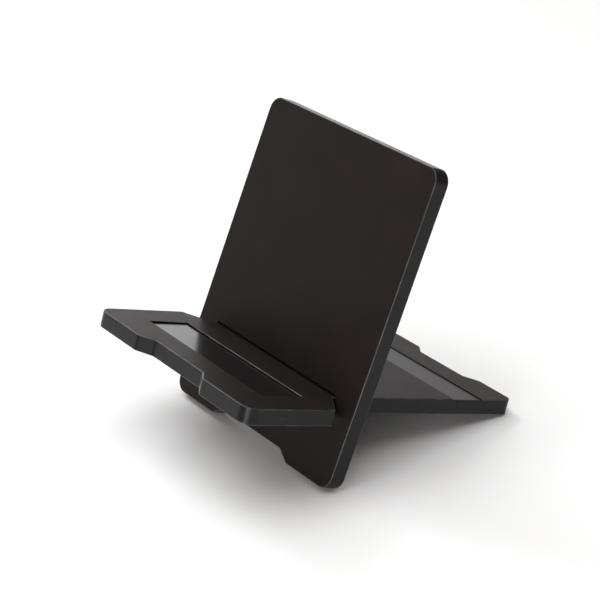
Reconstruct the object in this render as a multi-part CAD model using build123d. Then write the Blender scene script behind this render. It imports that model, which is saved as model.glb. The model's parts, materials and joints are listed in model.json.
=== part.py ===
from build123d import *
import os
from math import cos, radians, sin, tan

# A tablet stand made of two flat painted boards that cross in an X.
# The back board leans back, and a slot goes through it. The shelf board's narrow tongue is pushed
# through that slot from the front until the slanted shoulders all but meet the back board. The rear
# end of the tongue and the foot of the back board stand on the floor together.
# Frame: +Z up, +Y to the rear, +X to the right as seen from the front.
# The origin is on the floor, in the middle of the assembled stand's bounding box.
# Lengths are in millimetres and angles in degrees.

# Both boards: 10 mm board, with a paint film on each face
board_width = 170.0
board_thickness = 10.3
arris_radius = 0.5

# Back board: heights are measured up its front face
back_length = 202.9
back_lean = 23.0
back_top_corner = 9.0
back_foot_corner = 9.0
foot_notch_width = 83.3
foot_notch_depth = 5.9

# Shelf board: reaches are measured along its top, from the back board's front face
shelf_slope = 16.9
shelf_front_reach = 79.3
shelf_rear_reach = 147.2
shelf_front_corner = 9.0
shelf_notch_width = 73.0
shelf_notch_depth = 7.2
shoulder_length = 15.3
shoulder_flat = 1.0
shoulder_rounding = 1.0
tongue_width = 129.5
tongue_corner = 5.5
tongue_notch_width = 64.0

# The three edge notches share one ramp and one rounding
notch_ramp = 10.0
notch_rounding = 4.0

# Recesses in the shelf board's top, and the thin grip inlays glued into them
pocket_width = 127.0
pocket_front = 53.8
pocket_rear = 25.0
pocket_depth = 2.1
groove_front = 95.5
groove_rear = 119.8
groove_depth = 1.5
inlay_thickness = 1.0
inlay_gap = 0.15

# Fit of the tongue in the slot; the boards wedge a little before the shoulders touch
slot_side_clearance = 0.5
slot_face_clearance = 0.15
shoulder_clearance = 1.7

# The shelf board crosses the back board a little off square, so the slot is taller than the board
# is thick, and the shoulders stop a little short of where the shelf's top meets the back board.
crossing = radians(back_lean - shelf_slope)
lean = radians(back_lean)
slope = radians(shelf_slope)
slot_below = board_thickness / cos(crossing) + slot_face_clearance
slot_above = board_thickness * tan(crossing) + slot_face_clearance
shoulder_stop = board_thickness * tan(crossing) + shoulder_clearance

# Both boards stand on rounded lower rear arrises, whose lowest points are at floor level.
back_corner_drop = arris_radius * (cos(lean) + sin(lean) - 1)
shelf_corner_drop = arris_radius * (cos(slope) + sin(slope) - 1)
back_foot_height = board_thickness * sin(lean) - back_corner_drop
crossing_height = shelf_rear_reach * sin(slope) + board_thickness * cos(slope) - shelf_corner_drop
crossing_up_face = (crossing_height - back_foot_height) / cos(lean)

# Front to back, the shelf board's two ends set the bounding box, which is centred on the origin.
front_end = -shelf_front_reach * cos(slope) - board_thickness * sin(slope)
rear_end = shelf_rear_reach * cos(slope)
crossing_y = -(front_end + rear_end) / 2
back_foot_y = crossing_y - crossing_up_face * sin(lean)

# Each plane lies on a board's upper face, with local Z out of that face.
back_plane = Plane(
    origin=(0, back_foot_y, back_foot_height),
    x_dir=(1, 0, 0),
    z_dir=(0, -cos(lean), sin(lean)),
)
shelf_plane = Plane(
    origin=(0, crossing_y, crossing_height),
    x_dir=(1, 0, 0),
    z_dir=(0, sin(slope), cos(slope)),
)


def notch_points(mouth_width, edge, depth):
    """Four corners, left to right, of a notch in the edge at local Y = edge; depth is signed."""
    mouth = mouth_width / 2
    bottom = mouth - notch_ramp
    deep = edge + depth
    return [(-mouth, edge), (-bottom, deep), (bottom, deep), (mouth, edge)]


def flat_board(points, radii):
    """A board under the local XY plane with this outline and every outer arris rounded."""
    outline = FilletPolyline(*points, radius=radii, close=True)
    board = extrude(make_face(outline), amount=-board_thickness)
    faces = board.faces().sort_by(Axis.Z)
    arrises = faces[0].edges() + faces[-1].edges()
    return fillet(arrises, radius=arris_radius)


def block(width, near, far, bottom, top):
    """A box centred across the board, from near to far in local Y and bottom to top in local Z."""
    size = Box(width, far - near, top - bottom)
    return Pos(0, (near + far) / 2, (bottom + top) / 2) * size


def make_back_panel():
    """The leaning board: rounded corners, a cable notch at the foot and the slot for the tongue."""
    half = board_width / 2
    points = [(-half, 0), *notch_points(foot_notch_width, 0, foot_notch_depth), (half, 0)]
    points += [(half, back_length), (-half, back_length)]
    radii = [back_foot_corner] + [notch_rounding] * 4 + [back_foot_corner]
    radii += [back_top_corner] * 2
    board = flat_board(points, radii)
    slot_width = tongue_width + 2 * slot_side_clearance
    slot_bottom = crossing_up_face - slot_below
    slot_top = crossing_up_face + slot_above
    slot = block(slot_width, slot_bottom, slot_top, -2 * board_thickness, board_thickness)
    return back_plane * (board - slot)


def make_shelf_panel():
    """The sloping board: shelf in front, tongue behind, with both notches and both recesses."""
    half = board_width / 2
    tongue = tongue_width / 2
    front = -shelf_front_reach
    right_side = [
        (half, front),
        (half, -shoulder_length),
        (tongue + shoulder_flat, -shoulder_stop),
        (tongue, -shoulder_stop),
        (tongue, shelf_rear_reach),
    ]
    left_side = [(-x, y) for x, y in reversed(right_side)]
    front_notch = notch_points(shelf_notch_width, front, shelf_notch_depth)
    rear_notch = notch_points(tongue_notch_width, shelf_rear_reach, -shelf_notch_depth)
    points = front_notch + right_side + rear_notch[::-1] + left_side
    shoulder_radii = [shoulder_rounding] * 2 + [0]
    side_radii = [shelf_front_corner, *shoulder_radii, tongue_corner]
    notch_radii = [notch_rounding] * 4
    radii = notch_radii + side_radii + notch_radii + side_radii[::-1]
    board = flat_board(points, radii)
    above = board_thickness
    pocket = block(pocket_width, -pocket_front, -pocket_rear, -pocket_depth, above)
    groove = block(board_width, groove_front, groove_rear, -groove_depth, above)
    return shelf_plane * (board - pocket - groove)


def make_shelf_grip_pad():
    """The thin inlay on the floor of the pocket in the shelf."""
    width = pocket_width - 2 * inlay_gap
    near = -pocket_front + inlay_gap
    far = -pocket_rear - inlay_gap
    return shelf_plane * block(width, near, far, -pocket_depth, inlay_thickness - pocket_depth)


def make_tongue_grip_strip():
    """The thin inlay on the floor of the groove across the tongue."""
    width = tongue_width - 2 * inlay_gap
    near = groove_front + inlay_gap
    far = groove_rear - inlay_gap
    return shelf_plane * block(width, near, far, -groove_depth, inlay_thickness - groove_depth)


sub_parts = {
    "back_panel": make_back_panel(),
    "shelf_panel": make_shelf_panel(),
    "shelf_grip_pad": make_shelf_grip_pad(),
    "tongue_grip_strip": make_tongue_grip_strip(),
}

os.makedirs("parts", exist_ok=True)
for name, solid in sub_parts.items():
    export_step(solid, f"parts/{name}.step")
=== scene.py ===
"""A tablet stand: two painted fibreboard boards that cross in an X.

Smooth grip sheets are let into one of them. The fields that size a piece are in millimetres and
degrees, as a joiner would give them. Meshes and the studio are in metres.
"""

from __future__ import annotations

import json
import logging
import math
from dataclasses import dataclass, field
from enum import Enum
from typing import ClassVar

import bmesh
import bpy
from mathutils import Matrix, Vector


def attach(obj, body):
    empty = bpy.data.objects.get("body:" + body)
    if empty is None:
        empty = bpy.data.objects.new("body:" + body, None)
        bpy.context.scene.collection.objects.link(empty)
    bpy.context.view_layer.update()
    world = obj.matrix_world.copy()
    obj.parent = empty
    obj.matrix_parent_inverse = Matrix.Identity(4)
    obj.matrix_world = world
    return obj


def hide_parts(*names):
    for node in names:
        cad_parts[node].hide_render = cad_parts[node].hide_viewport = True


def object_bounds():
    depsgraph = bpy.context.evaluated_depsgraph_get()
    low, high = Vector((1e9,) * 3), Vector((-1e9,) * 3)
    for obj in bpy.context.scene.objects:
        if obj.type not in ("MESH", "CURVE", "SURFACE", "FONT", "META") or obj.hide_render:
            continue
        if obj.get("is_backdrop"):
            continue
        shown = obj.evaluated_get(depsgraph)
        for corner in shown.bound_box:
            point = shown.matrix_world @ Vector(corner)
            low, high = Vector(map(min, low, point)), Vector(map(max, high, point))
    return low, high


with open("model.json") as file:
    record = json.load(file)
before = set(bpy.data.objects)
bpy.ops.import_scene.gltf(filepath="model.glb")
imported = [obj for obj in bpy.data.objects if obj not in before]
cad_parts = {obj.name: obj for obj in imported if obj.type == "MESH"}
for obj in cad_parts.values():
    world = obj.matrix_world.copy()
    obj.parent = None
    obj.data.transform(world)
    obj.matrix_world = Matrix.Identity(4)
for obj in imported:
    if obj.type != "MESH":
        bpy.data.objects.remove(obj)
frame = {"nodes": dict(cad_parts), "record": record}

LOG = logging.getLogger("tablet_stand")
MM = 0.001
# Noise runs from 0 to 1 about this value.
NOISE_MIDDLE = 0.5


# ---------------------------------------------------------------------------------------------
# Small helpers
# ---------------------------------------------------------------------------------------------


def linear(hex_colour: str) -> tuple[float, float, float, float]:
    """Turn an sRGB hex colour into linear RGBA.

    Args:
        hex_colour: A colour such as "#2b2625".

    Returns:
        Red, green, blue and an alpha of 1, all linear.
    """
    channels = [int(hex_colour[i : i + 2], 16) / 255 for i in (1, 3, 5)]
    red, green, blue = [c / 12.92 if c <= 0.04045 else ((c + 0.055) / 1.055) ** 2.4 for c in channels]
    return red, green, blue, 1.0


def add_node(
    tree: bpy.types.NodeTree,
    kind: str,
    links: dict[str | int, bpy.types.NodeSocket] | None = None,
    values: dict[str | int, object] | None = None,
    **settings: object,
) -> bpy.types.Node:
    """Add a node with its settings, its unlinked values and the links into it.

    Args:
        tree: The node tree that gets the node.
        kind: The node's type, such as "ShaderNodeTexNoise".
        links: Input socket name or index, and the output socket that feeds it.
        values: Input socket name or index, and its default value.
        **settings: Attributes of the node itself.

    Returns:
        The new node.
    """
    node = tree.nodes.new(kind)
    for name, value in settings.items():
        setattr(node, name, value)
    for socket, value in (values or {}).items():
        node.inputs[socket].default_value = value
    for socket, source in (links or {}).items():
        tree.links.new(source, node.inputs[socket])
    return node


def plain_mesh(piece: bpy.types.Object) -> None:
    """Replace a piece's mesh by its evaluated one and take its modifiers off.

    Args:
        piece: A mesh object with modifiers.
    """
    graph = bpy.context.evaluated_depsgraph_get()
    made = bpy.data.meshes.new_from_object(piece.evaluated_get(graph))
    piece.modifiers.clear()
    piece.data = made


def new_piece(name: str, mesh: bpy.types.Mesh) -> bpy.types.Object:
    """Put a mesh into the scene as an object at the origin.

    Args:
        name: The object's name.
        mesh: Its mesh.

    Returns:
        The new object.
    """
    piece = bpy.data.objects.new(name, mesh)
    bpy.context.scene.collection.objects.link(piece)
    return piece


def box_mesh(name: str, low: Vector, high: Vector) -> bpy.types.Mesh:
    """Make a closed box between two corners, with its faces outward.

    Args:
        name: The mesh's name.
        low: The lowest corner.
        high: The highest corner.

    Returns:
        The new mesh.
    """
    builder = bmesh.new()
    bmesh.ops.create_cube(builder, size=1.0)
    size = high - low
    bmesh.ops.scale(builder, vec=size, verts=builder.verts)
    bmesh.ops.translate(builder, vec=(low + high) / 2, verts=builder.verts)
    mesh = bpy.data.meshes.new(name)
    builder.to_mesh(mesh)
    builder.free()
    return mesh


# ---------------------------------------------------------------------------------------------
# Finishes
# ---------------------------------------------------------------------------------------------


class BoardSide(Enum):
    """Which surface of a board a coat of paint is on."""

    FACE = "face"
    EDGE = "edge"
    ARRIS = "arris"
    RIM = "rim"


@dataclass(frozen=True)
class SatinPaint:
    """Satin water-based lacquer, sprayed on fibreboard.

    The faces are matted down, so they mirror little, with a faint orange peel. The cut edges are
    sealed and rubbed smooth before the last coat, so there it is shinier and cooler in colour. On
    arrises and rims its paler patches are a painted highlight.

    Attributes:
        side: The surface it is on.
        colour: Where it lies thick.
        thin_paint_and_highlight_colour: Where the paint is thinner; on arrises and rims, the colour
            of the painted highlight.
        roughness: Its middle roughness.
        specular: How strongly it mirrors.
        ior: Its refractive index, that of a clear lacquer.
        peel_spacing: Between two hollows of the orange peel.
        peel_depth: The depth of those hollows.
        patch_spacing: Between two paler patches.
        patch_softness: How gradually a patch fades, from 0 to 0.5.
        shine_spread: How far the roughness goes to either side of its middle.
    """

    side: BoardSide
    colour: str
    thin_paint_and_highlight_colour: str
    roughness: float
    specular: float
    ior: float = 1.5
    peel_spacing: float = 1.6
    peel_depth: float = 0.003
    patch_spacing: float = 22.0
    patch_softness: float = 0.3
    shine_spread: float = 0.03

    def build(self) -> bpy.types.Material:
        """Make the material. Its patterns are on Object coordinates, sized in real millimetres.

        Returns:
            The new material.
        """
        material = bpy.data.materials.new(f"satin_lacquer_on_fibreboard_{self.side.value}")
        material.use_nodes = True
        tree = material.node_tree
        tree.nodes.clear()
        place = add_node(tree, "ShaderNodeTexCoord").outputs["Object"]
        # Patches where the paint lies thinner, or where hands have rubbed it; on arrises and rims the
        # paler patches are a painted highlight instead.
        patches = add_node(
            tree,
            "ShaderNodeTexNoise",
            {"Vector": place},
            {"Scale": 1 / (self.patch_spacing * MM), "Detail": 3.0, "Roughness": 0.6},
        )
        # How far each place goes towards the paler colour: thinner paint on faces and edges, a
        # painted highlight on arrises and rims.
        thin = add_node(
            tree,
            "ShaderNodeMapRange",
            {"Value": patches.outputs["Fac"]},
            {
                "From Min": NOISE_MIDDLE - self.patch_softness,
                "From Max": NOISE_MIDDLE + self.patch_softness,
            },
        )
        colour = add_node(
            tree,
            "ShaderNodeMix",
            {"Factor": thin.outputs["Result"]},
            {"A": linear(self.colour), "B": linear(self.thin_paint_and_highlight_colour)},
            data_type="RGBA",
        )
        # The shine changes a little with it.
        shine = add_node(
            tree,
            "ShaderNodeMapRange",
            {"Value": thin.outputs["Result"]},
            {
                "To Min": self.roughness - self.shine_spread,
                "To Max": self.roughness + self.shine_spread,
            },
        )
        # The orange peel that a spray gun leaves.
        peel = add_node(
            tree,
            "ShaderNodeTexNoise",
            {"Vector": place},
            {"Scale": 1 / (self.peel_spacing * MM), "Detail": 2.0, "Roughness": 0.5},
        )
        bump = add_node(
            tree,
            "ShaderNodeBump",
            {"Height": peel.outputs["Fac"]},
            {"Strength": 1.0, "Distance": self.peel_depth * MM},
        )
        shader = add_node(
            tree,
            "ShaderNodeBsdfPrincipled",
            {
                "Base Color": colour.outputs["Result"],
                "Roughness": shine.outputs["Result"],
                "Normal": bump.outputs["Normal"],
            },
            {"IOR": self.ior, "Specular IOR Level": self.specular},
        )
        add_node(tree, "ShaderNodeOutputMaterial", {"Surface": shader.outputs["BSDF"]})
        return material


@dataclass(frozen=True)
class BoardCoat:
    """The four looks that one coat of paint has on a board; on the arris and rim looks, paler patches
    are a painted highlight.
    """

    face: bpy.types.Material
    edge: bpy.types.Material
    arris: bpy.types.Material
    rim: bpy.types.Material


@dataclass(frozen=True)
class SiliconeSheet:
    """Thin silicone rubber, pressed smooth in a mould: dark, soft and glossier than the paint.

    Attributes:
        look: The last part of the material's name.
        roughness: Its roughness where it is clean.
        specular: How strongly it mirrors.
        ior: Its refractive index, that of silicone rubber.
        colour: Where it is clean.
        dust_colour: Where dust clings to it.
        ripple_spacing: Between two ripples of the sheet.
        ripple_depth: The depth of those ripples.
        dust_spacing: Between two specks of dust, drawn coarser than real dust so that it shows.
        dust_spread: How much dust is needed to change the shine, to either side of the middle.
        polish: How far the roughness falls where it is cleanest.
        dulling: How far the roughness rises where dust clings.
    """

    look: str
    roughness: float
    specular: float = 0.5
    ior: float = 1.43
    colour: str = "#0c0909"
    dust_colour: str = "#131010"
    ripple_spacing: float = 14.0
    ripple_depth: float = 0.02
    dust_spacing: float = 2.5
    dust_spread: float = 0.2
    polish: float = 0.02
    dulling: float = 0.03

    def build(self) -> bpy.types.Material:
        """Make the material, with the slight ripple of a thin sheet glued down.

        Returns:
            The new material.
        """
        material = bpy.data.materials.new(f"silicone_sheet_{self.look}")
        material.use_nodes = True
        tree = material.node_tree
        tree.nodes.clear()
        place = add_node(tree, "ShaderNodeTexCoord").outputs["Object"]
        dust = add_node(
            tree,
            "ShaderNodeTexNoise",
            {"Vector": place},
            {"Scale": 1 / (self.dust_spacing * MM), "Detail": 4.0, "Roughness": 0.7},
        )
        colour = add_node(
            tree,
            "ShaderNodeMix",
            {"Factor": dust.outputs["Fac"]},
            {"A": linear(self.colour), "B": linear(self.dust_colour)},
            data_type="RGBA",
        )
        shine = add_node(
            tree,
            "ShaderNodeMapRange",
            {"Value": dust.outputs["Fac"]},
            {
                "From Min": NOISE_MIDDLE - self.dust_spread,
                "From Max": NOISE_MIDDLE + self.dust_spread,
                "To Min": self.roughness - self.polish,
                "To Max": self.roughness + self.dulling,
            },
        )
        ripple = add_node(
            tree,
            "ShaderNodeTexNoise",
            {"Vector": place},
            {"Scale": 1 / (self.ripple_spacing * MM), "Detail": 1.0, "Roughness": 0.4},
        )
        bump = add_node(
            tree,
            "ShaderNodeBump",
            {"Height": ripple.outputs["Fac"]},
            {"Strength": 1.0, "Distance": self.ripple_depth * MM},
        )
        shader = add_node(
            tree,
            "ShaderNodeBsdfPrincipled",
            {
                "Base Color": colour.outputs["Result"],
                "Roughness": shine.outputs["Result"],
                "Normal": bump.outputs["Normal"],
            },
            {"IOR": self.ior, "Specular IOR Level": self.specular},
        )
        add_node(tree, "ShaderNodeOutputMaterial", {"Surface": shader.outputs["BSDF"]})
        return material


@dataclass(frozen=True)
class StudioPaper:
    """Matt white paper under the stand: even, and too rough to mirror anything."""

    colour: str = "#fafafa"
    roughness: float = 0.9

    def build(self) -> bpy.types.Material:
        """Make the material.

        Returns:
            The new material.
        """
        material = bpy.data.materials.new("matt_studio_paper")
        material.use_nodes = True
        shader = material.node_tree.nodes["Principled BSDF"]
        shader.inputs["Base Color"].default_value = linear(self.colour)
        shader.inputs["Roughness"].default_value = self.roughness
        return material


# ---------------------------------------------------------------------------------------------
# Boards
# ---------------------------------------------------------------------------------------------


@dataclass(frozen=True)
class BoardPlane:
    """A board's own axes: across it, along it, and out of its upper face.

    Attributes:
        turn: Rotation from the board's axes to the stand's.
        low: The board's lowest corner in its own axes, in metres.
        high: The board's highest corner in its own axes, in metres.
    """

    turn: Matrix
    low: Vector
    high: Vector

    @classmethod
    def of_node(cls, node: str, mount: str) -> BoardPlane:
        """Read a board's axes from a mount on its face, and its extents from its CAD node.

        Args:
            node: The board's CAD node.
            mount: A mount whose axis is the normal of the board's upper face.

        Returns:
            The board's plane.
        """
        axis = next(m["axis"] for m in frame["record"]["mounts"] if m["name"] == mount)
        normal = Vector(axis).normalized()
        across = Vector((1.0, 0.0, 0.0))
        along = normal.cross(across)
        turn = Matrix((across, along, normal)).transposed()
        back = turn.transposed()
        points = [back @ v.co for v in frame["nodes"][node].data.vertices]
        low = Vector([min(p[i] for p in points) for i in range(3)])
        high = Vector([max(p[i] for p in points) for i in range(3)])
        return cls(turn, low, high)

    @property
    def thickness(self) -> float:
        """The board's thickness in metres."""
        return self.high.z - self.low.z

    def crossing(self, other: BoardPlane) -> float:
        """Find where another board's upper face crosses this one's.

        Args:
            other: The other board's plane.

        Returns:
            The place along this board, in metres.
        """
        along, out, normal = self.turn.col[1], self.turn.col[2], other.turn.col[2]
        return (other.high.z - self.high.z * out.dot(normal)) / along.dot(normal)

    def skew(self, other: BoardPlane) -> float:
        """Tell how far from square two boards cross.

        Args:
            other: The other board's plane.

        Returns:
            The angle in radians.
        """
        return abs(math.asin(self.turn.col[2].dot(other.turn.col[2])))

    def place(self, mesh: bpy.types.Mesh) -> None:
        """Turn a mesh from the board's axes into the stand's.

        Args:
            mesh: A mesh modelled in the board's axes.
        """
        mesh.transform(self.turn.to_4x4())


@dataclass(frozen=True)
class Corner:
    """One corner of an outline in a board's plane, in metres, and the radius that rounds it."""

    across: float
    along: float
    radius: float = 0.0


@dataclass
class BoardCutter:
    """Cuts a board from sheet: rounded outline, thickness and paint, as one Geometry Nodes tree.

    Attributes:
        segments: The flats that make up each rounded corner.
        weld: How close two corners of the mesh are made one.
        RADIUS: The attribute that carries each corner's radius.
    """

    segments: int = 10
    weld: float = 0.001

    RADIUS: ClassVar[str] = "corner_radius"

    def tree(self) -> bpy.types.NodeTree:
        """Build the tree. Its inputs are the outline, thickness, corner segments and both paints.

        Returns:
            The new Geometry Nodes tree.
        """
        tree = bpy.data.node_groups.new("cut_board", "GeometryNodeTree")
        sockets = tree.interface
        sockets.new_socket("Outline", in_out="INPUT", socket_type="NodeSocketGeometry")
        sockets.new_socket("Thickness", in_out="INPUT", socket_type="NodeSocketFloat")
        sockets.new_socket("Corner Segments", in_out="INPUT", socket_type="NodeSocketInt")
        sockets.new_socket("Face Paint", in_out="INPUT", socket_type="NodeSocketMaterial")
        sockets.new_socket("Edge Paint", in_out="INPUT", socket_type="NodeSocketMaterial")
        sockets.new_socket("Board", in_out="OUTPUT", socket_type="NodeSocketGeometry")
        given = add_node(tree, "NodeGroupInput").outputs
        curve = add_node(tree, "GeometryNodeMeshToCurve", {"Mesh": given["Outline"]})
        radius = add_node(
            tree,
            "GeometryNodeInputNamedAttribute",
            values={"Name": self.RADIUS},
            data_type="FLOAT",
        )
        rounded = add_node(
            tree,
            "GeometryNodeFilletCurve",
            {
                "Curve": curve.outputs[0],
                "Radius": radius.outputs["Attribute"],
                "Count": given["Corner Segments"],
            },
            {"Limit Radius": True},
            mode="POLY",
        )
        sheet = add_node(
            tree, "GeometryNodeFillCurve", {"Curve": rounded.outputs[0]}, mode="NGONS"
        )
        down = add_node(
            tree, "ShaderNodeMath", {0: given["Thickness"]}, {1: -1.0}, operation="MULTIPLY"
        )
        walls = add_node(
            tree,
            "GeometryNodeExtrudeMesh",
            {"Mesh": sheet.outputs[0], "Offset Scale": down.outputs[0]},
            {"Individual": False},
            mode="FACES",
        )
        # The sheet is pushed down through itself, which leaves its walls and underside facing inward.
        outward = add_node(tree, "GeometryNodeFlipFaces", {"Mesh": walls.outputs["Mesh"]})
        joined = add_node(tree, "GeometryNodeJoinGeometry", {0: sheet.outputs[0]})
        tree.links.new(outward.outputs[0], joined.inputs[0])
        welded = add_node(
            tree,
            "GeometryNodeMergeByDistance",
            {"Geometry": joined.outputs[0]},
            {"Distance": self.weld * MM},
        )
        real = add_node(tree, "GeometryNodeRealizeInstances", {"Geometry": welded.outputs[0]})
        faces = add_node(
            tree,
            "GeometryNodeSetMaterial",
            {"Geometry": real.outputs[0], "Material": given["Face Paint"]},
        )
        edges = add_node(
            tree,
            "GeometryNodeSetMaterial",
            {
                "Geometry": faces.outputs[0],
                "Selection": walls.outputs["Side"],
                "Material": given["Edge Paint"],
            },
        )
        add_node(tree, "NodeGroupOutput", {"Board": edges.outputs[0]})
        return tree

    def cut(
        self,
        name: str,
        outline: list[Corner],
        thickness: float,
        coat: BoardCoat,
    ) -> bpy.types.Object:
        """Cut one board, with its upper face at local Z = 0.

        Args:
            name: The piece's name.
            outline: The corners of its outline, in order.
            thickness: The sheet's thickness, in metres.
            coat: The paint on its faces and cut edges.

        Returns:
            The board as a plain mesh object in its own axes.
        """
        mesh = bpy.data.meshes.new(name)
        count = len(outline)
        sides = [(i, (i + 1) % count) for i in range(count)]
        mesh.from_pydata([(c.across, c.along, 0.0) for c in outline], sides, [])
        radii = mesh.attributes.new(self.RADIUS, "FLOAT", "POINT")
        radii.data.foreach_set("value", [c.radius for c in outline])
        piece = new_piece(name, mesh)
        modifier = piece.modifiers.new("cut", "NODES")
        modifier.node_group = self.tree()
        settings = {
            "Thickness": thickness,
            "Corner Segments": self.segments,
            "Face Paint": coat.face,
            "Edge Paint": coat.edge,
        }
        for item in modifier.node_group.interface.items_tree:
            if item.in_out == "INPUT" and item.name in settings:
                modifier[item.identifier] = settings[item.name]
        plain_mesh(piece)
        # The bare outline leaves an empty slot before the two paints.
        piece.data.materials.pop(index=0)
        return piece


@dataclass
class EdgeNotch:
    """A shallow notch in a board's edge, with sloping ends, where a cable or a fingertip passes.

    Attributes:
        mouth_width: Its width where it opens.
        depth: How deep it is.
        ramp: How far across the board each sloping end goes.
        rounding: The radius of its four corners.
    """

    mouth_width: float
    depth: float = 7.2
    ramp: float = 10.0
    rounding: float = 4.0

    def corners(self, edge: float, inward: int) -> list[Corner]:
        """Give the notch's four corners from left to right.

        Args:
            edge: Where the board's edge is, along the board, in metres.
            inward: +1 if the board lies further along, -1 if it lies before the edge.

        Returns:
            The corners.
        """
        mouth = self.mouth_width * MM / 2
        bottom = mouth - self.ramp * MM
        deep = edge + inward * self.depth * MM
        radius = self.rounding * MM
        places = [(-mouth, edge), (-bottom, deep), (bottom, deep), (mouth, edge)]
        return [Corner(x, y, radius) for x, y in places]


@dataclass
class Board:
    """What both boards share: arrises eased all round, recesses, and the tongue's width.

    Attributes:
        arris_radius: The radius of the eased arrises.
        arris_segments: The flats that make up each arris.
        rim_radius: The radius of an eased rim of a recess.
        rim_segments: The flats that make up each rim.
        sharp_angle: Edges that turn by more than this are sharp.
        tongue_width: The width of the part that goes through the slot.
        EDGE_SLOT: Where the paint of the cut edges stands among a board's materials.
        LEVEL: How far from the upper face a corner of the mesh still counts as on it.
        AREA_WEIGHT: How much more a big face turns the shading of its corners than a small one.
    """

    arris_radius: float = 0.5
    arris_segments: int = 4
    rim_radius: float = 0.35
    rim_segments: int = 2
    sharp_angle: float = 50.0
    tongue_width: float = 129.5

    EDGE_SLOT: ClassVar[int] = 1
    LEVEL: ClassVar[float] = 0.0035
    AREA_WEIGHT: ClassVar[int] = 100

    def ease_arrises(self, piece: bpy.types.Object, arris: bpy.types.Material) -> None:
        """Round every sharp edge of a board, and give it the arris paint, whose paler patches are a
        painted highlight.

        Args:
            piece: The board.
            arris: The paint on the arrises, paler in patches as a painted highlight.
        """
        piece.data.materials.append(arris)
        bevel = piece.modifiers.new("arris", "BEVEL")
        bevel.width = self.arris_radius * MM
        bevel.segments = self.arris_segments
        bevel.limit_method = "ANGLE"
        bevel.angle_limit = math.radians(self.sharp_angle)
        bevel.miter_outer = "MITER_ARC"
        bevel.use_clamp_overlap = False
        bevel.material = len(piece.data.materials) - 1
        plain_mesh(piece)

    def ease_rims(self, piece: bpy.types.Object, rim: bpy.types.Material) -> None:
        """Take the sharpness off the rims of a recess, and give them the paler rim paint, a painted
        highlight.

        Args:
            piece: The board in its own axes, with its upper face at Z = 0 and the recess carved.
            rim: The paint on the rims, paler in patches as a painted highlight.
        """
        piece.data.materials.append(rim)
        builder = bmesh.new()
        builder.from_mesh(piece.data)
        weight = builder.edges.layers.float.new("bevel_weight_edge")
        sharp = math.radians(self.sharp_angle)
        for edge in builder.edges:
            level = all(abs(v.co.z) < self.LEVEL * MM for v in edge.verts)
            edge[weight] = float(level and edge.calc_face_angle() > sharp)
        builder.to_mesh(piece.data)
        builder.free()
        bevel = piece.modifiers.new("rims", "BEVEL")
        bevel.width = self.rim_radius * MM
        bevel.segments = self.rim_segments
        bevel.limit_method = "WEIGHT"
        bevel.material = len(piece.data.materials) - 1
        plain_mesh(piece)

    def carve(self, piece: bpy.types.Object, low: Vector, high: Vector) -> None:
        """Cut a box-shaped recess out of a board, with the paint of the cut edges inside it.

        Args:
            piece: The board, in its own axes.
            low: The recess's lowest corner.
            high: Its highest corner.
        """
        cutter = new_piece("cutter", box_mesh("cutter", low, high))
        for polygon in cutter.data.polygons:
            polygon.material_index = self.EDGE_SLOT
        cut = piece.modifiers.new("recess", "BOOLEAN")
        cut.object = cutter
        cut.operation = "DIFFERENCE"
        cut.solver = "EXACT"
        plain_mesh(piece)
        bpy.data.objects.remove(cutter)

    def even_normals(self, piece: bpy.types.Object) -> None:
        """Keep the big faces flat and the rounded arrises smooth.

        Args:
            piece: The board.
        """
        piece.data.shade_smooth()
        piece.data.set_sharp_from_angle(angle=math.radians(self.sharp_angle))
        weighted = piece.modifiers.new("even", "WEIGHTED_NORMAL")
        weighted.mode = "FACE_AREA"
        weighted.weight = self.AREA_WEIGHT
        weighted.keep_sharp = True
        plain_mesh(piece)


@dataclass
class BackBoard(Board):
    """The leaning board: rounded top, cable notch at the foot, and the slot for the tongue."""

    top_corner: float = 9.0
    foot_corner: float = 9.0
    side_clearance: float = 0.5
    face_clearance: float = 0.15
    notch: EdgeNotch = field(default_factory=lambda: EdgeNotch(mouth_width=83.3, depth=5.9))

    def build(self, cutter: BoardCutter, coat: BoardCoat, shelf: BoardPlane) -> bpy.types.Object:
        """Make the board and put it in the stand.

        Args:
            cutter: Cuts the sheet.
            coat: The paint.
            shelf: The plane of the board that goes through the slot.

        Returns:
            The finished piece.
        """
        plane = BoardPlane.of_node("back_panel", "tablet_backrest")
        foot, top, half = plane.low.y, plane.high.y, plane.high.x
        foot_radius, top_radius = self.foot_corner * MM, self.top_corner * MM
        outline = [
            Corner(-half, foot, foot_radius),
            *self.notch.corners(foot, 1),
            Corner(half, foot, foot_radius),
            Corner(half, top, top_radius),
            Corner(-half, top, top_radius),
        ]
        piece = cutter.cut("back_board", outline, plane.thickness, coat)
        self.ease_arrises(piece, coat.arris)
        # The slot is sawn square, and its rims stay sharp.
        reach = (self.tongue_width / 2 + self.side_clearance) * MM
        crossing, skew = plane.crossing(shelf), plane.skew(shelf)
        fit = self.face_clearance * MM
        low = crossing - shelf.thickness / math.cos(skew) - fit
        high = crossing + plane.thickness * math.tan(skew) + fit
        self.carve(
            piece,
            Vector((-reach, low, -2 * plane.thickness)),
            Vector((reach, high, plane.thickness)),
        )
        self.even_normals(piece)
        piece.data.transform(Matrix.Translation((0.0, 0.0, plane.high.z)))
        plane.place(piece.data)
        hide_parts("back_panel")
        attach(piece, "back")
        return piece


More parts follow.
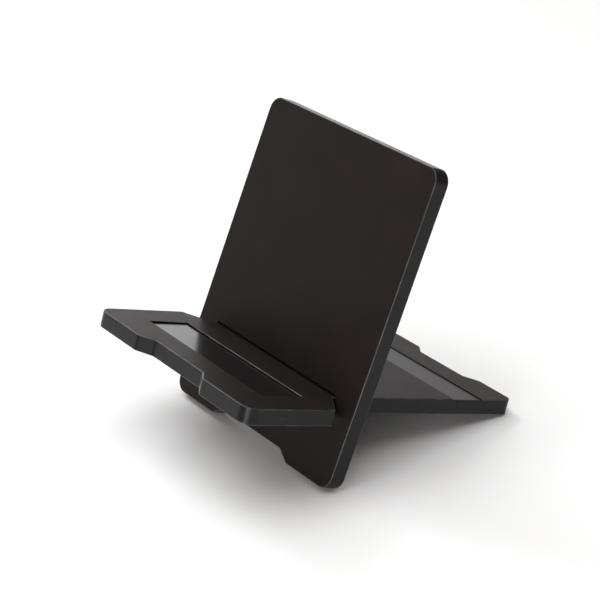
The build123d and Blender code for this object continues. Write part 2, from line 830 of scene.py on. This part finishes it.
@dataclass
class ShelfBoard(Board):
    """The sloping board: the shelf in front, the tongue behind, two notches and two recesses."""

    front_corner: float = 9.0
    shoulder_length: float = 15.3
    shoulder_flat: float = 1.0
    shoulder_rounding: float = 1.0
    shoulder_clearance: float = 1.7
    tongue_corner: float = 5.5
    pocket_width: float = 127.0
    pocket_front: float = 53.8
    pocket_rear: float = 25.0
    pocket_depth: float = 2.1
    groove_front: float = 95.5
    groove_rear: float = 119.8
    groove_depth: float = 1.5
    front_notch: EdgeNotch = field(default_factory=lambda: EdgeNotch(mouth_width=73.0))
    rear_notch: EdgeNotch = field(default_factory=lambda: EdgeNotch(mouth_width=64.0))

    def build(self, cutter: BoardCutter, coat: BoardCoat, back: BoardPlane) -> bpy.types.Object:
        """Make the board and put it in the stand.

        Args:
            cutter: Cuts the sheet.
            coat: The paint.
            back: The plane of the board that it goes through.

        Returns:
            The finished piece.
        """
        plane = BoardPlane.of_node("shelf_panel", "tablet_ledge")
        front, rear, half = plane.low.y, plane.high.y, plane.high.x
        crossing = plane.crossing(back)
        tongue = self.tongue_width * MM / 2
        overlap = plane.thickness * math.tan(plane.skew(back))
        stop = crossing - overlap - self.shoulder_clearance * MM
        rounding = self.shoulder_rounding * MM
        right = [
            Corner(half, front, self.front_corner * MM),
            Corner(half, crossing - self.shoulder_length * MM, rounding),
            Corner(tongue + self.shoulder_flat * MM, stop, rounding),
            Corner(tongue, stop),
            Corner(tongue, rear, self.tongue_corner * MM),
        ]
        left = [Corner(-c.across, c.along, c.radius) for c in reversed(right)]
        rear_notch = self.rear_notch.corners(rear, -1)[::-1]
        outline = self.front_notch.corners(front, 1) + right + rear_notch + left
        piece = cutter.cut("shelf_board", outline, plane.thickness, coat)
        self.ease_arrises(piece, coat.arris)
        above = self.arris_radius * MM
        reach = self.pocket_width * MM / 2
        self.carve(
            piece,
            Vector((-reach, crossing - self.pocket_front * MM, -self.pocket_depth * MM)),
            Vector((reach, crossing - self.pocket_rear * MM, above)),
        )
        # The pocket's rims get the paler rim paint: a painted highlight.
        self.ease_rims(piece, coat.rim)
        self.carve(
            piece,
            Vector((-half, crossing + self.groove_front * MM, -self.groove_depth * MM)),
            Vector((half, crossing + self.groove_rear * MM, above)),
        )
        self.even_normals(piece)
        piece.data.transform(Matrix.Translation((0.0, 0.0, plane.high.z)))
        plane.place(piece.data)
        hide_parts("shelf_panel")
        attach(piece, "shelf")
        return piece


@dataclass
class GripSheet:
    """A thin silicone sheet glued to the floor of a recess."""

    name: str
    node: str
    edge_radius: float = 0.3
    edge_segments: int = 3

    def build(self, silicone: bpy.types.Material) -> bpy.types.Object:
        """Make the sheet, with its edges eased, where its CAD node is.

        Args:
            silicone: Its finish.

        Returns:
            The finished piece.
        """
        plane = BoardPlane.of_node(self.node, "tablet_ledge")
        piece = new_piece(self.name, box_mesh(self.name, plane.low, plane.high))
        piece.data.materials.append(silicone)
        bevel = piece.modifiers.new("eased", "BEVEL")
        bevel.width = self.edge_radius * MM
        bevel.segments = self.edge_segments
        bevel.harden_normals = True
        for polygon in piece.data.polygons:
            polygon.use_smooth = True
        plain_mesh(piece)
        plane.place(piece.data)
        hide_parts(self.node)
        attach(piece, "shelf")
        return piece


# ---------------------------------------------------------------------------------------------
# Studio
# ---------------------------------------------------------------------------------------------


@dataclass(frozen=True)
class Softbox:
    """A rectangular lamp that faces the stand.

    Attributes:
        name: The lamp's name.
        azimuth: Where it stands, in degrees round from the front, anticlockwise from above.
        elevation: Its height above the horizon, in degrees.
        distance: How far it is from the stand, in metres.
        width: Its width, in metres.
        height: Its height, in metres.
        radiance: How bright its face is.
    """

    name: str
    azimuth: float
    elevation: float
    distance: float
    width: float
    height: float
    radiance: float

    def build(self, target: Vector) -> None:
        """Hang the lamp.

        Args:
            target: What it faces.
        """
        turn, rise = math.radians(self.azimuth), math.radians(self.elevation)
        level = math.cos(rise)
        away = Vector((math.sin(turn) * level, -math.cos(turn) * level, math.sin(rise)))
        lamp = bpy.data.lights.new(self.name, "AREA")
        lamp.shape = "RECTANGLE"
        lamp.size, lamp.size_y = self.width, self.height
        lamp.energy = self.radiance * math.pi * self.width * self.height
        holder = bpy.data.objects.new(self.name, lamp)
        holder.location = target + away * self.distance
        holder.rotation_euler = (-away).to_track_quat("-Z", "Y").to_euler()
        bpy.context.scene.collection.objects.link(holder)


@dataclass
class Studio:
    """White paper, a room that lights it, soft lamps and the camera.

    Attributes:
        floor_size: The length of the paper's side.
        camera_lens: The focal length, in millimetres.
        camera_sensor: The sensor's width, in millimetres.
        camera_place: Where the camera stands.
        camera_yaw: How far it is turned to the left, in degrees.
        camera_pitch: How far it looks up, in degrees.
        camera_reach: The nearest and the farthest that it sees.
        room_bright: The colour of the bright wall.
        room_dim: The colour of the rest of the room.
        ceiling: The colour of the ceiling.
        room_strength: How bright the room is.
        bright_azimuth: Where the bright wall is, in degrees as for a lamp.
        wall_fade: The cosine from its middle where it starts, and where it is fully bright.
        ceiling_fade: The height in a direction where the ceiling starts, and where it is full.
        lamps: The softboxes.
    """

    floor_size: float = 12.0
    camera_lens: float = 122.23
    camera_sensor: float = 36.0
    camera_place: tuple[float, float, float] = (0.94349, -0.67145, 0.60625)
    camera_yaw: float = 55.035
    camera_pitch: float = -24.25
    camera_reach: tuple[float, float] = (0.05, 50.0)
    room_bright: str = "#ffffff"
    room_dim: str = "#4b4745"
    ceiling: str = "#bcbcbc"
    room_strength: float = 2.5
    bright_azimuth: float = -100.0
    wall_fade: tuple[float, float] = (0.74, 0.95)
    ceiling_fade: tuple[float, float] = (0.72, 0.85)
    lamps: tuple[Softbox, ...] = (
        Softbox("key_softbox", 35.0, 5.0, 2.8, 1.22, 0.87, 12.0),
        Softbox("front_softbox", 0.0, 50.0, 2.2, 1.6, 1.2, 1.3),
        Softbox("overhead_softbox", -50.0, 68.0, 1.7, 1.8, 1.4, 1.3),
        Softbox("left_softbox", -86.0, 41.0, 1.7, 0.5, 0.4, 9.0),
    )

    def build(self) -> None:
        """Lay the paper, light the room and set the camera."""
        self.paper()
        self.room()
        low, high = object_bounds()
        for lamp in self.lamps:
            lamp.build((low + high) / 2)
        self.camera()
        bpy.context.scene.view_settings.view_transform = "Standard"

    def paper(self) -> None:
        """Lay the white paper at floor level."""
        builder = bmesh.new()
        bmesh.ops.create_grid(builder, x_segments=1, y_segments=1, size=self.floor_size / 2)
        mesh = bpy.data.meshes.new("paper")
        builder.to_mesh(mesh)
        builder.free()
        mesh.materials.append(StudioPaper().build())
        new_piece("paper", mesh)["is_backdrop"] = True

    def room(self) -> None:
        """Light the room: a bright wall to the left, dim walls elsewhere and a pale ceiling."""
        world = bpy.data.worlds.new("room")
        world.use_nodes = True
        tree = world.node_tree
        tree.nodes.clear()
        turn = math.radians(self.bright_azimuth)
        bright = (math.sin(turn), -math.cos(turn), 0.0)
        direction = add_node(tree, "ShaderNodeTexCoord").outputs["Generated"]
        facing = add_node(
            tree, "ShaderNodeVectorMath", {0: direction}, {1: bright}, operation="DOT_PRODUCT"
        )
        share = add_node(
            tree,
            "ShaderNodeMapRange",
            {"Value": facing.outputs["Value"]},
            {"From Min": self.wall_fade[0], "From Max": self.wall_fade[1]},
            interpolation_type="SMOOTHSTEP",
        )
        colour = add_node(
            tree,
            "ShaderNodeMix",
            {"Factor": share.outputs["Result"]},
            {"A": linear(self.room_dim), "B": linear(self.room_bright)},
            data_type="RGBA",
        )
        # A pale ceiling lights the paper evenly, out to where it ends.
        height = add_node(tree, "ShaderNodeSeparateXYZ", {"Vector": direction}).outputs["Z"]
        overhead = add_node(
            tree,
            "ShaderNodeMapRange",
            {"Value": height},
            {"From Min": self.ceiling_fade[0], "From Max": self.ceiling_fade[1]},
            interpolation_type="SMOOTHSTEP",
        )
        lit = add_node(
            tree,
            "ShaderNodeMix",
            {"Factor": overhead.outputs["Result"], "A": colour.outputs["Result"]},
            {"B": linear(self.ceiling)},
            data_type="RGBA",
        )
        light = add_node(
            tree,
            "ShaderNodeBackground",
            {"Color": lit.outputs["Result"]},
            {"Strength": self.room_strength},
        )
        add_node(tree, "ShaderNodeOutputWorld", {"Surface": light.outputs[0]})
        bpy.context.scene.world = world

    def camera(self) -> None:
        """Set the camera in front of the stand, to its right and above it."""
        lens = bpy.data.cameras.new("camera")
        lens.lens = self.camera_lens
        lens.sensor_width = self.camera_sensor
        lens.clip_start, lens.clip_end = self.camera_reach
        camera = bpy.data.objects.new("camera", lens)
        camera.location = self.camera_place
        yaw, pitch = math.radians(self.camera_yaw), math.radians(self.camera_pitch)
        camera.rotation_euler = (math.pi / 2 + pitch, 0.0, yaw)
        bpy.context.scene.collection.objects.link(camera)
        bpy.context.scene.camera = camera


# ---------------------------------------------------------------------------------------------
# The whole stand
# ---------------------------------------------------------------------------------------------


def report(piece: bpy.types.Object) -> None:
    """Log a piece's name and triangle count.

    Args:
        piece: A finished piece.
    """
    piece.data.calc_loop_triangles()
    LOG.info("%s: %d triangles", piece.name, len(piece.data.loop_triangles))


def main() -> None:
    """Build the stand, then the studio."""
    logging.basicConfig(level=logging.INFO, format="%(name)s: %(message)s")
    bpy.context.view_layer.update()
    coat = BoardCoat(
        face=SatinPaint(
            BoardSide.FACE,
            "#16100f",
            "#1d1615",
            roughness=0.46,
            specular=0.14,
        ).build(),
        edge=SatinPaint(
            BoardSide.EDGE,
            "#141313",
            "#191818",
            roughness=0.28,
            specular=0.2,
            peel_depth=0.001,
        ).build(),
        # Paler patches on the arrises: a painted highlight.
        arris=SatinPaint(
            BoardSide.ARRIS,
            "#191716",
            "#433f3e",
            roughness=0.34,
            specular=0.5,
            patch_spacing=9.0,
            patch_softness=0.12,
        ).build(),
        # Paler patches on the pocket's rims: a painted highlight.
        rim=SatinPaint(
            BoardSide.RIM,
            "#1f1d1d",
            "#5f5c59",
            roughness=0.34,
            specular=0.5,
            patch_spacing=9.0,
            patch_softness=0.12,
        ).build(),
    )
    glossy = SiliconeSheet("pressed_smooth", roughness=0.2, specular=0.41).build()
    dull = SiliconeSheet("handled_dull", roughness=0.34, specular=0.52).build()
    cutter = BoardCutter()
    back = BoardPlane.of_node("back_panel", "tablet_backrest")
    shelf = BoardPlane.of_node("shelf_panel", "tablet_ledge")
    report(BackBoard().build(cutter, coat, shelf))
    report(ShelfBoard().build(cutter, coat, back))
    report(GripSheet("shelf_grip_sheet", "shelf_grip_pad").build(glossy))
    report(GripSheet("tongue_grip_sheet", "tongue_grip_strip").build(dull))
    Studio().build()


if __name__ == "__main__":
    main()
